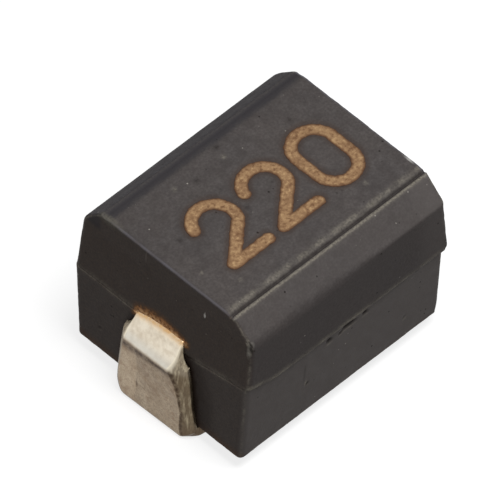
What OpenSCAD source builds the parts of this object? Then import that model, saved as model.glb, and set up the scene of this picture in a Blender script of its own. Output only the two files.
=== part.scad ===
// Moulded, magnetically shielded wire-wound chip inductor, 3.2 x 2.5 mm size.
//
// A ferrite drum core lies along X with its winding between two flanges and
// stands in a ferrite sleeve that closes the magnetic circuit. Two flat strips
// carry the wire ends out through the parting line of the resin moulding, run
// down the end walls and fold under the body as solder feet.
//
// Millimetres. +X runs along the length, +Z is up, and the origin is the centre
// of the footprint on the plane that the feet rest on.

/* [Overall] */
// Length over the outer faces of the two terminals
overall_l = 3.18; // [3.1:0.02:3.6]
// Height from the soldering plane to the flat top
overall_h = 2.16; // [2.1:0.02:2.6]

/* [Moulding, upper half] */
// Length of the upper half at the parting line
upper_l = 2.896; // [2.87:0.002:2.93]
// Width of the upper half at the parting line
upper_w = 2.5; // [2.3:0.02:2.9]
// Taper of each end wall, from the parting line to the top
upper_draft_x = 0.046; // [0.01:0.002:0.08]
// Taper of each long wall, from the parting line to the chamfer
upper_draft_y = 0.032; // [0.005:0.002:0.05]
// Height of the chamfer along each long top edge
chamfer_h = 0.25; // [0.1:0.01:0.3]
// Width of that chamfer
chamfer_w = 0.265; // [0.1:0.01:0.3]
// Small bevel under the overhanging edge of the upper half
parting_bevel = 0.018; // [0.005:0.001:0.03]

/* [Moulding, lower half] */
// Gap between the soldering plane and the bottom of the moulding
standoff = 0.15; // [0.14:0.01:0.25]
// Height of the parting line above the bottom of the moulding
parting_h = 1.06; // [0.95:0.01:1.15]
// Length of the lower half at the parting line
lower_l = 2.85; // [2.82:0.002:2.856]
// Width of the lower half at the parting line
lower_w = 2.478; // [2.28:0.002:2.88]
// Taper of each end wall of the lower half
lower_draft_x = 0.001; // [0:0.001:0.03]
// Taper of each long wall of the lower half
lower_draft_y = 0.058; // [0.01:0.001:0.09]
// Lengthwise mismatch of the two mould halves
mould_shift_x = 0.031; // [0:0.001:0.034]
// Crosswise mismatch of the two mould halves
mould_shift_y = 0.011; // [0:0.001:0.02]

/* [Moulding, edges and surface] */
// Radius of the upright corners
corner_r = 0.075; // [0.04:0.005:0.15]
// Radius of the bottom edges
bottom_edge_r = 0.06; // [0.02:0.01:0.1]
// Radius that eases each chamfer into its long wall
ease_r = 0.15; // [0.05:0.01:0.25]
// Width of the lip outside each groove that frames the top panel
lip_w = 0.03; // [0.02:0.005:0.05]
// Width of that groove
groove_w = 0.045; // [0.02:0.005:0.06]
// Depth of that groove
groove_d = 0.028; // [0.01:0.002:0.05]
// Width of the slope from the groove up to the panel
slope_w = 0.07; // [0.03:0.005:0.1]
// Drop of that slope, and of the lip under the panel
slope_drop = 0.012; // [0.004:0.002:0.02]
// Radius of the chips along the parting line
chip_r = 0.055; // [0.02:0.005:0.08]
// Drop from the parting line to the middle of those chips
chip_drop = 0.095; // [0.07:0.005:0.2]
// Depth of those chips
chip_d = 0.035; // [0.01:0.005:0.04]

/* [Terminals] */
// Thickness of the strip
strip_t = 0.14; // [0.08:0.01:0.14]
// Thickness of the strip after it is pressed flat as a foot
foot_t = 0.13; // [0.08:0.01:0.13]
// Width of the strip where it leaves the moulding
exit_w = 0.715; // [0.5:0.005:0.9]
// Width of the strip at its lower bend
leg_w = 1.06; // [0.9:0.02:1.2]
// Extra width on each side of the lower bend, on the way out to the foot
flare_w = 0.035; // [0.01:0.005:0.04]
// Width of the foot
foot_w = 1.2; // [1.1:0.02:1.5]
// Length of the foot from the strip's outer face
foot_l = 0.68; // [0.5:0.02:0.9]
// Drop from the parting line to the crease where the strip turns upright
crease_drop = 0.275; // [0.2:0.01:0.5]
// Radius of the foot's corners, in plan
foot_corner_r = 0.08; // [0.02:0.01:0.12]
// Radius left on the strip's small bends and cut ends
strip_corner_r = 0.02; // [0.01:0.005:0.03]
// Outer radius of the bend at the crease
crease_r = 0.06; // [0.03:0.01:0.1]
// Outer radius of the lower bend
bend_r = 0.07; // [0.05:0.01:0.12]
// Width that the rounding takes off each long outer edge of the strip
strip_edge_w = 0.09; // [0.03:0.005:0.1]
// Depth of that rounding
strip_edge_d = 0.1; // [0.03:0.005:0.1]
// Width of the anchor head inside the resin
anchor_w = 1.3; // [1.2:0.05:1.6]
// Length of that head
anchor_l = 0.26; // [0.2:0.02:0.3]
// Clearance between the head and the end of the ferrite sleeve
anchor_gap = 0.07; // [0.03:0.01:0.1]

/* [Core, winding and sleeve] */
// Length of the drum core and of the sleeve
core_l = 1.9; // [1.6:0.05:2]
// Diameter of the core's flanges
flange_d = 1.24; // [1.1:0.02:1.3]
// Thickness of each flange
flange_t = 0.25; // [0.15:0.01:0.35]
// Diameter of the post that carries the winding
post_d = 0.6; // [0.4:0.02:0.7]
// Outer diameter of the winding
winding_d = 1.08; // [0.9:0.02:1.08]
// Diameter of the enamelled wire
wire_d = 0.07; // [0.05:0.005:0.09]
// Width of the notch that lets a wire end out through a flange
notch_w = 0.13; // [0.1:0.01:0.2]
// Gap between flange and sleeve, filled by the bond
bond_gap = 0.03; // [0.02:0.01:0.05]
// Wall of the ferrite sleeve
sleeve_t = 0.2; // [0.12:0.01:0.22]
// Radius of the weld that joins a wire end to its strip
weld_r = 0.11; // [0.08:0.01:0.13]
// Length of wire beyond the middle of its weld
wire_tail = 0.06; // [0.02:0.01:0.08]
// Height of the wire ends above the strip that they are welded to
wire_lift = 0.012; // [0.008:0.002:0.02]

/* [Value mark] */
// Height of the figures
mark_h = 0.92; // [0.6:0.01:1.2]
// Width of one figure
figure_w = 0.64; // [0.4:0.01:0.65]
// Distance from one figure to the next
figure_pitch = 0.71; // [0.66:0.01:0.76]
// Width of the laser stroke
stroke_w = 0.155; // [0.08:0.005:0.2]
// Depth of the laser marking
mark_d = 0.012; // [0.004:0.001:0.02]
// Centre of the marking, lengthwise
mark_x = 0.114; // [0:0.002:0.2]
// Centre of the marking, crosswise
mark_y = -0.06; // [-0.1:0.01:0.1]

/* [Hidden] */

SLAB = 0.002; // thickness of the layers that the moulding is spanned between
CUT = 0.2; // how far a cutter runs past what it cuts
ARC_STEPS = 5; // straight steps in a rounded corner
FINE = 64; // $fn of round parts

body_h = overall_h - standoff;
parting_z = standoff + parting_h;
chamfer_z = overall_h - chamfer_h;
panel_half_w = upper_w / 2 - upper_draft_y - chamfer_w; // centre line to the chamfer's upper edge
lip_z = overall_h - slope_drop;

leg_x = overall_l / 2; // outer face of the strip
leg_in_x = leg_x - strip_t; // its inner face
exit_x = (upper_l - mould_shift_x) / 2; // where the strip's top face leaves the resin
wall_x = (lower_l + mould_shift_x) / 2 + 0.002; // just outside the end walls of the lower half
strip_z = parting_z - strip_t; // underside of the strip inside the resin
crease_z = parting_z - crease_drop;
foot_in_x = leg_x - foot_l;
anchor_x = core_l / 2 + anchor_gap; // inner end of the anchor head

core_z = standoff + body_h / 2;
window_l = core_l - 2 * flange_t;
sleeve_in_r = flange_d / 2 + bond_gap;
sleeve_out_r = sleeve_in_r + sleeve_t;
turns = floor(window_l / wire_d);
turn_pitch = window_l / turns;
lead_r = winding_d / 2 - wire_d / 2; // distance of the outer layer from the core's axis
lead_z = parting_z + wire_lift + wire_d / 2;
lead_y = sqrt(lead_r * lead_r - pow(lead_z - core_z, 2));
weld_x = anchor_x + anchor_l / 2;

// Points of a rounding of radius r at corner b, between its neighbours a and c.
function corner_arc(a, b, c, r) =
    r == 0 ? [b] :
    let (
        to_a = (a - b) / norm(a - b),
        to_c = (c - b) / norm(c - b),
        half = acos(to_a * to_c) / 2,
        centre = b + (to_a + to_c) / norm(to_a + to_c) * r / sin(half),
        from = b + to_a * r / tan(half) - centre,
        to = b + to_c * r / tan(half) - centre,
        turn = 180 - 2 * half
    )
    [for (i = [0 : ARC_STEPS])
        centre + (from * sin(turn * (1 - i / ARC_STEPS)) + to * sin(turn * i / ARC_STEPS)) / sin(turn)];

// An outline whose corners are given as [x, y, radius].
function rounded(corners) =
    let (n = len(corners), flat = [for (c = corners) [c[0], c[1]]])
    [for (i = [0 : n - 1])
        each corner_arc(flat[(i + n - 1) % n], flat[i], flat[(i + 1) % n], corners[i][2])];

// The line through a path's points, w wide, with round ends.
function band(path, w) =
    let (
        n = len(path),
        r = w / 2,
        along = [for (i = [0 : n - 1])
            let (d = path[min(i + 1, n - 1)] - path[max(i - 1, 0)]) d / norm(d)],
        left = [for (i = [0 : n - 1]) path[i] + r * [-along[i][1], along[i][0]]],
        right = [for (i = [n - 1 : -1 : 0]) path[i] - r * [-along[i][1], along[i][0]]],
        last = atan2(along[n - 1][1], along[n - 1][0]),
        first = atan2(along[0][1], along[0][0])
    )
    concat(
        left,
        [for (i = [1 : 7]) path[n - 1] + r * [cos(last + 90 - i * 22.5), sin(last + 90 - i * 22.5)]],
        right,
        [for (i = [1 : 7]) path[0] + r * [cos(first - 90 - i * 22.5), sin(first - 90 - i * 22.5)]]
    );

module rounded_rectangle(l, w, r) {
    polygon(rounded([[-l / 2, -w / 2, r], [l / 2, -w / 2, r], [l / 2, w / 2, r], [-l / 2, w / 2, r]]));
}

// One thin layer of a moulding half, its lower face at z.
module layer(z, l, w, r = corner_r) {
    translate([0, 0, z]) linear_extrude(SLAB) rounded_rectangle(l, w, r);
}

// Extrudes an outline drawn in X and Z along Y, symmetric about the XZ plane.
module across(w) {
    rotate([90, 0, 0]) linear_extrude(w, center = true) children();
}

// Extrudes an outline drawn in Y and Z along X, from x = 0.
module lengthwise(l) {
    rotate([90, 0, 90]) linear_extrude(l) children();
}

// A round part on the core's axis: the outline gives [radius, x].
module on_core_axis() {
    translate([0, 0, core_z]) rotate([0, 90, 0]) rotate_extrude($fn = FINE) children();
}

module upper_half() {
    l_top = upper_l - 2 * upper_draft_x;
    w_chamfer = upper_w - 2 * upper_draft_y;
    chamfer_slope = atan(chamfer_h / chamfer_w);
    ease = ease_r * tan((90 - chamfer_slope) / 2);
    translate([mould_shift_x / 2, 0, 0]) hull() {
        layer(parting_z, upper_l - 2 * parting_bevel, upper_w - 2 * parting_bevel);
        layer(parting_z + parting_bevel, upper_l, upper_w);
        layer(chamfer_z - ease, l_top, w_chamfer);
        layer(chamfer_z + ease * sin(chamfer_slope), l_top, w_chamfer - 2 * ease * cos(chamfer_slope));
        layer(overall_h - SLAB, l_top, 2 * panel_half_w, corner_r / 2);
    }
}

module lower_half() {
    l_bottom = lower_l - 2 * lower_draft_x;
    w_bottom = lower_w - 2 * lower_draft_y;
    translate([-mould_shift_x / 2, mould_shift_y, 0]) hull() {
        layer(parting_z - SLAB, lower_l, lower_w);
        for (step = [0 : 30 : 90])
            layer(standoff + bottom_edge_r * (1 - sin(step)),
                l_bottom - 2 * bottom_edge_r * (1 - cos(step)),
                w_bottom - 2 * bottom_edge_r * (1 - cos(step)));
    }
}

// The lip, groove and slope that run along each long edge of the top panel.
module panel_edges() {
    lip_in = panel_half_w - lip_w;
    groove_in = lip_in - groove_w;
    over = overall_h + CUT;
    for (side = [-1, 1])
        translate([-upper_l, 0, 0]) lengthwise(2 * upper_l)
            polygon([
                [side * (panel_half_w + CUT), over],
                [side * (panel_half_w + CUT), lip_z],
                [side * lip_in, lip_z],
                [side * (lip_in - groove_w / 2), lip_z - groove_d],
                [side * groove_in, lip_z],
                [side * (groove_in - slope_w), overall_h],
                [side * (groove_in - slope_w), over]
            ]);
}

// Small chips broken out of the long edge under the parting line: [middle, length].
CHIPS = [[-0.18, 0.03], [0.03, 0.14], [0.27, 0.02]];
module parting_chips() {
    wall_y = mould_shift_y - lower_w / 2 + lower_draft_y * 0.14;
    for (chip = CHIPS)
        translate([chip[0], wall_y - chip_r + chip_d, parting_z - chip_drop]) {
            rotate([0, 90, 0]) cylinder(r = chip_r, h = chip[1], center = true, $fn = 24);
            for (end = [-1, 1])
                translate([end * chip[1] / 2, 0, 0]) sphere(r = chip_r, $fn = 24);
        }
}

// Everything that the resin flowed round.
module embedded_space() {
    translate([-core_l / 2, 0, core_z]) rotate([0, 90, 0])
        cylinder(r = sleeve_out_r, h = core_l, $fn = FINE);
    for (side = [0, 1]) mirror([side, 0, 0]) strip_in_resin(leg_x);
    for (side = [-1, 1]) {
        wire_end(side);
        weld_dome(side);
    }
}

// The strip inside the resin: a wide anchor head and a neck out to x = reach, on the -X side.
module strip_in_resin(reach) {
    translate([0, 0, strip_z]) linear_extrude(strip_t) {
        translate([-anchor_x - anchor_l, -anchor_w / 2]) square([anchor_l, anchor_w]);
        translate([-reach, -exit_w / 2]) square([reach - anchor_x, exit_w]);
    }
}

module moulded_body() {
    color("#4b4847") difference() {
        union() {
            upper_half();
            lower_half();
        }
        panel_edges();
        parting_chips();
        embedded_space();
        figures();
    }
}

// Centre lines of the two figures that the marking uses, each in a cell of w x h.
function figure_two(w, h) =
    let (r = w / 2)
    [
        concat(
            [for (a = [165 : -15 : -30]) [r + r * cos(a), h - r + r * sin(a)]],
            [[0, 0]]
        ),
        [[0, 0], [w, 0]]
    ];
function figure_nought(w, h) =
    let (r = w / 2)
    [for (side = [-1, 1]) concat(
        [for (a = [0 : 15 : 90]) [r + side * r * sin(a), h - r + r * cos(a)]],
        [for (a = [90 : 15 : 180]) [r + side * r * sin(a), r + r * cos(a)]]
    )];

// A plain value code, 220, burnt into the top.
module figures() {
    line_w = figure_w - stroke_w;
    line_h = mark_h - stroke_w;
    for (i = [0 : 2])
        translate([mark_x + (i - 1) * figure_pitch - line_w / 2, mark_y - line_h / 2, overall_h - mark_d])
            linear_extrude(mark_d)
                for (path = i < 2 ? figure_two(line_w, line_h) : figure_nought(line_w, line_h))
                    polygon(band(path, stroke_w));
}

module value_mark() {
    color("#8f7254") figures();
}

// Outline of the strip outside the resin, in X and Z, on the -X side.
module strip_side_view() {
    neck_in_x = exit_x - strip_t / 2;
    polygon(rounded([
        [-neck_in_x, parting_z, 0],
        [-exit_x, parting_z, strip_corner_r],
        [-leg_x, crease_z, crease_r],
        [-leg_x, 0, bend_r],
        [-foot_in_x, 0, strip_corner_r],
        [-foot_in_x, foot_t, strip_corner_r],
        [-leg_in_x, foot_t, strip_corner_r],
        [-leg_in_x, strip_z - 2 * (leg_in_x - wall_x), 0],
        [-wall_x, strip_z, 0],
        [-neck_in_x, strip_z, 0]
    ]));
}

// The strip flares from the exit to the lower bend, and the foot is wider still.
module strip_width_mask() {
    z_low = foot_t + strip_corner_r;
    translate([-leg_x, 0, 0]) lengthwise(leg_x - wall_x)
        polygon([[-leg_w / 2, z_low], [leg_w / 2, z_low], [exit_w / 2, parting_z], [-exit_w / 2, parting_z]]);
    translate([-wall_x, -exit_w / 2, strip_z]) cube([wall_x, exit_w, strip_t]);
    translate([0, 0, -CUT]) linear_extrude(z_low + CUT)
        polygon(rounded([
            [-leg_x, -leg_w / 2, foot_corner_r],
            [-leg_x + bend_r, -leg_w / 2 - flare_w, 0],
            [-leg_in_x + bend_r, -foot_w / 2, 0],
            [-foot_in_x, -foot_w / 2, foot_corner_r],
            [-foot_in_x, foot_w / 2, foot_corner_r],
            [-leg_in_x + bend_r, foot_w / 2, 0],
            [-leg_x + bend_r, leg_w / 2 + flare_w, 0],
            [-leg_x, leg_w / 2, foot_corner_r]
        ]));
}

// Takes the rounding off one long outer edge of the upright leg.
module edge_relief(side) {
    z_low = foot_t + strip_corner_r;
    lean = atan((leg_w - exit_w) / 2 / (parting_z - z_low));
    translate([-leg_x, side * leg_w / 2, z_low]) rotate([side * lean, 0, 0])
        linear_extrude(2 * overall_h, center = true)
            polygon([
                [-CUT, -side * (strip_edge_w + CUT * strip_edge_w / strip_edge_d)],
                [strip_edge_d + CUT, side * CUT * strip_edge_w / strip_edge_d],
                [-CUT, side * CUT]
            ]);
}

module terminal() {
    strip_in_resin(exit_x - strip_t / 2);
    difference() {
        intersection() {
            across(2 * foot_w) strip_side_view();
            strip_width_mask();
        }
        edge_relief(-1);
        edge_relief(1);
    }
}

module left_terminal() {
    color("#9c8c79") terminal();
}

module right_terminal() {
    color("#9c8c79") mirror([1, 0, 0]) terminal();
}

module drum_core() {
    color("#3a3735") difference() {
        on_core_axis() polygon([
            [0, -core_l / 2], [flange_d / 2, -core_l / 2], [flange_d / 2, -window_l / 2],
            [post_d / 2, -window_l / 2], [post_d / 2, window_l / 2], [flange_d / 2, window_l / 2],
            [flange_d / 2, core_l / 2], [0, core_l / 2]
        ]);
        for (side = [-1, 1]) flange_notch(side);
    }
}

// The notch in one flange that its wire end runs out through.
module flange_notch(side) {
    depth = lead_r - wire_d;
    translate([side * (core_l + window_l) / 4, side * (lead_y + sleeve_in_r) / 2, lead_z])
        cube([flange_t, sleeve_in_r + lead_y - 2 * depth, notch_w], center = true);
}

// One wire end, straight out from the outer layer to just past its weld.
module wire_end(side) {
    start = window_l / 2 - turn_pitch;
    translate([side * start, side * lead_y, lead_z]) rotate([0, side * 90, 0])
        cylinder(d = wire_d, h = weld_x + wire_tail - start, $fn = 24);
}

module winding() {
    color("#b4692f") union() {
        on_core_axis() {
            translate([post_d / 2, -window_l / 2]) square([lead_r - post_d / 2, window_l]);
            intersection() {
                for (i = [0 : turns - 1])
                    translate([lead_r, (i + 0.5) * turn_pitch - window_l / 2])
                        circle(d = wire_d * 1.04, $fn = 24);
                translate([0, -window_l / 2]) square([winding_d, window_l]);
            }
        }
        for (side = [-1, 1]) wire_end(side);
    }
}

module shield_sleeve() {
    color("#45413f") on_core_axis()
        translate([sleeve_in_r, -core_l / 2]) square([sleeve_t, core_l]);
}

// Adhesive that fills the gap between one flange's rim and the sleeve.
module core_bond(side) {
    difference() {
        on_core_axis() translate([flange_d / 2, side > 0 ? window_l / 2 : -core_l / 2])
            square([bond_gap, flange_t]);
        flange_notch(side);
    }
}

module left_core_bond() {
    color("#c9b98f") core_bond(-1);
}

module right_core_bond() {
    color("#c9b98f") core_bond(1);
}

module weld_dome(side) {
    translate([side * weld_x, side * lead_y, parting_z]) intersection() {
        sphere(r = weld_r, $fn = 32);
        translate([-weld_r, -weld_r, 0]) cube([2 * weld_r, 2 * weld_r, weld_r]);
    }
}

module wire_weld(side) {
    difference() {
        weld_dome(side);
        wire_end(side);
    }
}

module left_wire_weld() {
    color("#8d8578") wire_weld(-1);
}

module right_wire_weld() {
    color("#8d8578") wire_weld(1);
}

moulded_body();
value_mark();
left_terminal();
right_terminal();
drum_core();
winding();
shield_sleeve();
left_core_bond();
right_core_bond();
left_wire_weld();
right_wire_weld();
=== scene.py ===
import bpy
import math
import numpy as np
from mathutils import Matrix, Vector


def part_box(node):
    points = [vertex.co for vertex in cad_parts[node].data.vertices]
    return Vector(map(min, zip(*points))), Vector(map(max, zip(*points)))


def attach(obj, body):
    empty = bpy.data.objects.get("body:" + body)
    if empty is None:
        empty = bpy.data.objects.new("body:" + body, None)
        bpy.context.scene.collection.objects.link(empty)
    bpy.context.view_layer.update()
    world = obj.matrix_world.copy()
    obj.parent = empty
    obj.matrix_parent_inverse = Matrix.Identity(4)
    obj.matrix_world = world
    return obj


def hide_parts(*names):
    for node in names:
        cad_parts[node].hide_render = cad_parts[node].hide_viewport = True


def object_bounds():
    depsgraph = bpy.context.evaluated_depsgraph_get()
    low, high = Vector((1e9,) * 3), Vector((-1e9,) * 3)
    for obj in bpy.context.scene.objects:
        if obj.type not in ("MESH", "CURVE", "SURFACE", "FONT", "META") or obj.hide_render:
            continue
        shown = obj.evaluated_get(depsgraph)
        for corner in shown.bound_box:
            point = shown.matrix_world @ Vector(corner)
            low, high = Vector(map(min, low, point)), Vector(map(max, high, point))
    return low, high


# Moulded chip inductor: detailed resin body, strips and value mark over the CAD frame,
# with procedural materials, camera, floor and light. Shapes are written in millimetres.

MM = 0.001
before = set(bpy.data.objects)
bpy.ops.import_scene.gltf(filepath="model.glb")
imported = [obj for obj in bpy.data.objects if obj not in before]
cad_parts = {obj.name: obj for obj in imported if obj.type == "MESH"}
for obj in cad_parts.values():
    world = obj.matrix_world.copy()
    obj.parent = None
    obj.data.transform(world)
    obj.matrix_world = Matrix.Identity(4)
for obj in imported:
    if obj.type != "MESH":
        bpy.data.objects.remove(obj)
cad_lo, cad_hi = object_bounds()


def box_mm(node):
    """Lowest and highest corner of a CAD node, in millimetres."""
    lo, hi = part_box(node)
    return np.array(lo) / MM, np.array(hi) / MM


# ---- helpers for shapes


def smooth(a, b, v):
    """0 below a, 1 above b, with a soft step between; a may be larger than b."""
    t = np.clip((np.asarray(v, float) - a) / (b - a), 0, 1)
    return t * t * (3 - 2 * t)


def bump_at(v, centre, width):
    """A soft hill of height 1."""
    return np.exp(-(((np.asarray(v, float) - centre) / width) ** 2))


def round_spot(x, y, cx, cy, r):
    """A soft round hill of height 1 on a plane."""
    return np.exp(-((x - cx) ** 2 + (y - cy) ** 2) / r**2)


def lumps(p, size, seed):
    """Smooth seeded noise from -1 to 1 whose lumps are about this size."""
    cells, far_off = 24, 500  # lumps before it repeats, and an offset that keeps indices positive
    table = np.random.RandomState(seed).rand(cells, cells, cells) * 2 - 1
    q = np.asarray(p, float) / size + far_off
    i = np.floor(q).astype(int)
    f = q - i
    f = f * f * (3 - 2 * f)
    out = 0
    for dx in (0, 1):
        for dy in (0, 1):
            for dz in (0, 1):
                w = 1
                for k, d in enumerate((dx, dy, dz)):
                    w = w * (f[:, k] if d else 1 - f[:, k])
                out = out + w * table[(i[:, 0] + dx) % cells, (i[:, 1] + dy) % cells, (i[:, 2] + dz) % cells]
    return out


def path_distance(x, y, path):
    """Distance of each point from a polyline."""
    best = np.full(x.shape, 1e9)
    for (ax, ay), (bx, by) in zip(path[:-1], path[1:]):
        ex, ey = bx - ax, by - ay
        t = np.clip(((x - ax) * ex + (y - ay) * ey) / (ex * ex + ey * ey), 0, 1)
        best = np.minimum(best, np.hypot(x - ax - t * ex, y - ay - t * ey))
    return best


def spread(start, *stretches):
    """Stations along a line from a start value; each stretch is (end, steps)."""
    out = [start]
    for end, steps in stretches:
        out += list(np.linspace(out[-1], end, steps + 1)[1:])
    return np.array(out)


def at_stations(v, table):
    """The table's second value at v, straight between its rows."""
    return np.interp(v, [a for a, _ in table], [b for _, b in table])


def piece(name, points, faces, node, material, attributes):
    """Makes a mesh object from millimetre points, which stands for a CAD node."""
    mesh = bpy.data.meshes.new(name)
    mesh.from_pydata([tuple(p) for p in (np.asarray(points) * MM)], [], [tuple(f) for f in faces])
    for key, values in attributes.items():
        layer = mesh.attributes.new(key, "FLOAT", "POINT")
        layer.data.foreach_set("value", np.asarray(values, np.float32))
    mesh.polygons.foreach_set("use_smooth", [True] * len(mesh.polygons))
    mesh.update()
    obj = bpy.data.objects.new(name, mesh)
    bpy.context.scene.collection.objects.link(obj)
    mesh.materials.append(material)
    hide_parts(node)
    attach(obj, "root")
    return obj


# ---- helpers for materials


def linear(r, g, b):
    """An sRGB colour from 0 to 255 as a linear RGBA value."""
    def one(c):
        c /= 255
        return c / 12.92 if c <= 0.04045 else ((c + 0.055) / 1.055) ** 2.4
    return one(r), one(g), one(b), 1.0


def add_node(tree, kind, inputs, **settings):
    """Adds a shader node; each of its inputs gets a plain value or a link from an output."""
    node = tree.nodes.new("ShaderNode" + kind)
    for key, value in settings.items():
        setattr(node, key, value)
    for key, value in inputs.items():
        if hasattr(value, "is_output"):
            tree.links.new(value, node.inputs[key])
        else:
            node.inputs[key].default_value = value
    return node


class Shader:
    """A Principled material with short calls for the nodes that feed it."""

    def __init__(self, name, **constants):
        self.material = bpy.data.materials.new(name)
        self.material.use_nodes = True
        self.tree = self.material.node_tree
        self.bsdf = self.tree.nodes["Principled BSDF"]
        for key, value in constants.items():
            self.bsdf.inputs[key.replace("_", " ")].default_value = value
        metres = self.add("TexCoord", {}).outputs["Object"]
        self.place = self.mapped(metres, (1 / MM, 1 / MM, 1 / MM))  # in millimetres
        self.color = None

    def add(self, kind, inputs, **settings):
        return add_node(self.tree, kind, inputs, **settings)

    def mapped(self, vector, scale, location=(0, 0, 0)):
        return self.add("Mapping", {"Vector": vector, "Scale": scale, "Location": location}).outputs["Vector"]

    def noise(self, per_mm, detail=3.0, rough=0.55, vector=None):
        inputs = {"Vector": vector or self.place, "Scale": per_mm, "Detail": detail, "Roughness": rough}
        return self.add("TexNoise", inputs).outputs["Fac"]

    def cells(self, per_mm, vector=None):
        """Distance from the centre of the nearest cell."""
        return self.add("TexVoronoi", {"Vector": vector or self.place, "Scale": per_mm}).outputs["Distance"]

    def attribute(self, name):
        return self.add("Attribute", {}, attribute_name=name).outputs["Fac"]

    def spot(self, centre, sizes, soft=0.4):
        """1 inside a small ellipsoid and 0 outside it."""
        vector = self.mapped(self.place, [1 / v for v in sizes], [-c / v for c, v in zip(centre, sizes)])
        size = self.add("VectorMath", {0: vector}, operation="LENGTH").outputs["Value"]
        return self.span(size, 1 + soft, 1 - soft)

    def span(self, value, a, b, low=0.0, high=1.0):
        """Maps a..b to low..high, clamped."""
        inputs = {"Value": value, "From Min": a, "From Max": b, "To Min": low, "To Max": high}
        return self.add("MapRange", inputs).outputs["Result"]

    def times(self, a, b):
        return self.add("Math", {0: a, 1: b}, operation="MULTIPLY").outputs[0]

    def either(self, a, b):
        return self.add("Math", {0: a, 1: b}, operation="MAXIMUM").outputs[0]

    def mix(self, fac, a, b):
        """Mixes two colours; a plain one is an sRGB triple from 0 to 255."""
        a, b = (linear(*v) if isinstance(v, tuple) else v for v in (a, b))
        return self.add("Mix", {0: fac, 6: a, 7: b}, data_type="RGBA").outputs[2]  # its sockets for colours

    def over(self, mask, tone):
        """Lays a tone over the colour where the mask is 1."""
        self.color = self.mix(mask, self.color, tone)

    def paint(self, name, amount, tone):
        """Lays a tone over the colour by the mesh attribute of this name."""
        self.over(self.times(self.attribute(name), amount), tone)

    def relief(self, height, depth_mm, strength, under=None):
        node = self.add("Bump", {"Height": height, "Strength": strength, "Distance": depth_mm * MM})
        if under is not None:
            self.tree.links.new(under, node.inputs["Normal"])
        return node.outputs["Normal"]

    def done(self, normal, roughness=None):
        for key, value in (("Base Color", self.color), ("Normal", normal), ("Roughness", roughness)):
            if value is not None:
                self.tree.links.new(value, self.bsdf.inputs[key])
        return self.material


# ---- sizes of the moulding

body_lo, body_hi = box_mm("moulded_body")
strip_lo, strip_hi = box_mm("left_terminal")
mark_lo, mark_hi = box_mm("value_mark")
TOP, BOTTOM = body_hi[2], body_lo[2]
PARTING = strip_hi[2]  # the strips leave the moulding at the parting line

# the two mould halves: length, width, draft of the walls and the place of the middle
UPPER = dict(l=2.896, w=2.5, draft_x=0.046, draft_y=0.032, x=body_hi[0] - 1.448, y=0.0)
LOWER = dict(l=2.85, w=2.478, draft_x=0.001, draft_y=0.058, x=body_lo[0] + 1.425, y=body_hi[1] - 1.239)
CHAMFER_H, CHAMFER_W = 0.25, 0.265
EASE, SHARP_EASE = 0.092, 0.02  # rounding of the chamfer's lower edge, and where that edge is sharp
BEVEL, LEDGE_R = 0.03, 0.006  # under the overhang of the upper half, and the lower half's upper edge
CORNER_R, BOTTOM_R, RIM_R = 0.075, 0.06, 0.018
SLOPE_IN, GROOVE_IN, LIP_IN, LIP_OUT = 0.808, 0.878, 0.923, 0.953  # along Y, from the middle
DROP, GROOVE_D = 0.012, 0.028
TOP_SET_BACK = 0.046  # of the top's edge at -X, on top of the draft
LEAN, LOW_ROUND = 0.038, 0.045  # lean of the upper wall at -X, and the rounder lower edge at +X
STRETCH_Z = TOP - 0.08  # above this the rows follow the profile of the top

# across Y: rise of the parting line at -X and of each strip's exit line, and reach of the warm tone above the
# exits
SEAM_WANDER = [(-1.25, 0.1), (-0.36, -0.075), (0.36, 0.0)]
EXIT_LIFT = {-1: [(-0.42, 0.096), (-0.3, 0.092), (-0.15, 0.094), (0.0, 0.088), (0.15, 0.070), (0.3, 0.034),
                  (0.42, -0.022)],
             1: [(-0.4, -0.012), (0.4, 0.028)]}
TINT_REACH = [(-0.36, 0.055), (-0.2, 0.12), (0.0, 0.17), (0.36, 0.15)]

# ---- value mark strokes

MARK_X, MARK_Y = (mark_lo[0] + mark_hi[0]) / 2, (mark_lo[1] + mark_hi[1]) / 2
STROKE, FIGURE_W, FIGURE_H, PITCH = 0.155, 0.485, 0.765, 0.71


def figure_paths():
    """Centre lines of the plain figures 2, 2 and 0."""
    r = FIGURE_W / 2

    def at(i, pts):
        ox, oy = MARK_X + (i - 1) * PITCH - r, MARK_Y - FIGURE_H / 2
        return [(ox + x, oy + y) for x, y in pts]

    arc = [math.radians(a) for a in range(165, -31, -5)]
    two = [(r + r * math.cos(a), FIGURE_H - r + r * math.sin(a)) for a in arc] + [(0, 0), (2 * r, 0)]
    ring = [math.radians(a) for a in range(0, 361, 5)]
    nought = [(r + r * math.cos(a), (FIGURE_H - r if math.sin(a) >= 0 else r) + r * math.sin(a))
              for a in ring]
    nought.insert(len(ring) // 2 + 1, (0, r))  # the straight on the left, then the one on the right
    nought.append(nought[0])
    return [at(0, two), at(1, two), at(2, nought)]


FIGURES = figure_paths()


def mark_distance(x, y):
    """Distance outside the edge of the nearest stroke, negative inside it."""
    return np.min([path_distance(x, y, path) for path in FIGURES], axis=0) - STROKE / 2


# ---- sizes of the strips

STRIP_T, FOOT_T = 0.14, 0.13
CREASE_DROP = 0.275  # from the parting line to the lower edge of the slanted facet
BEVEL_D, FOOT_EDGE = 0.118, 0.03  # depth of the bevels, and the small edge of the foot
UNDER_R, FOOT_R, FOOT_ROUND = 0.012, 0.08, 0.02  # inner edge, corners of the foot, rounding of its end
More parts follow.
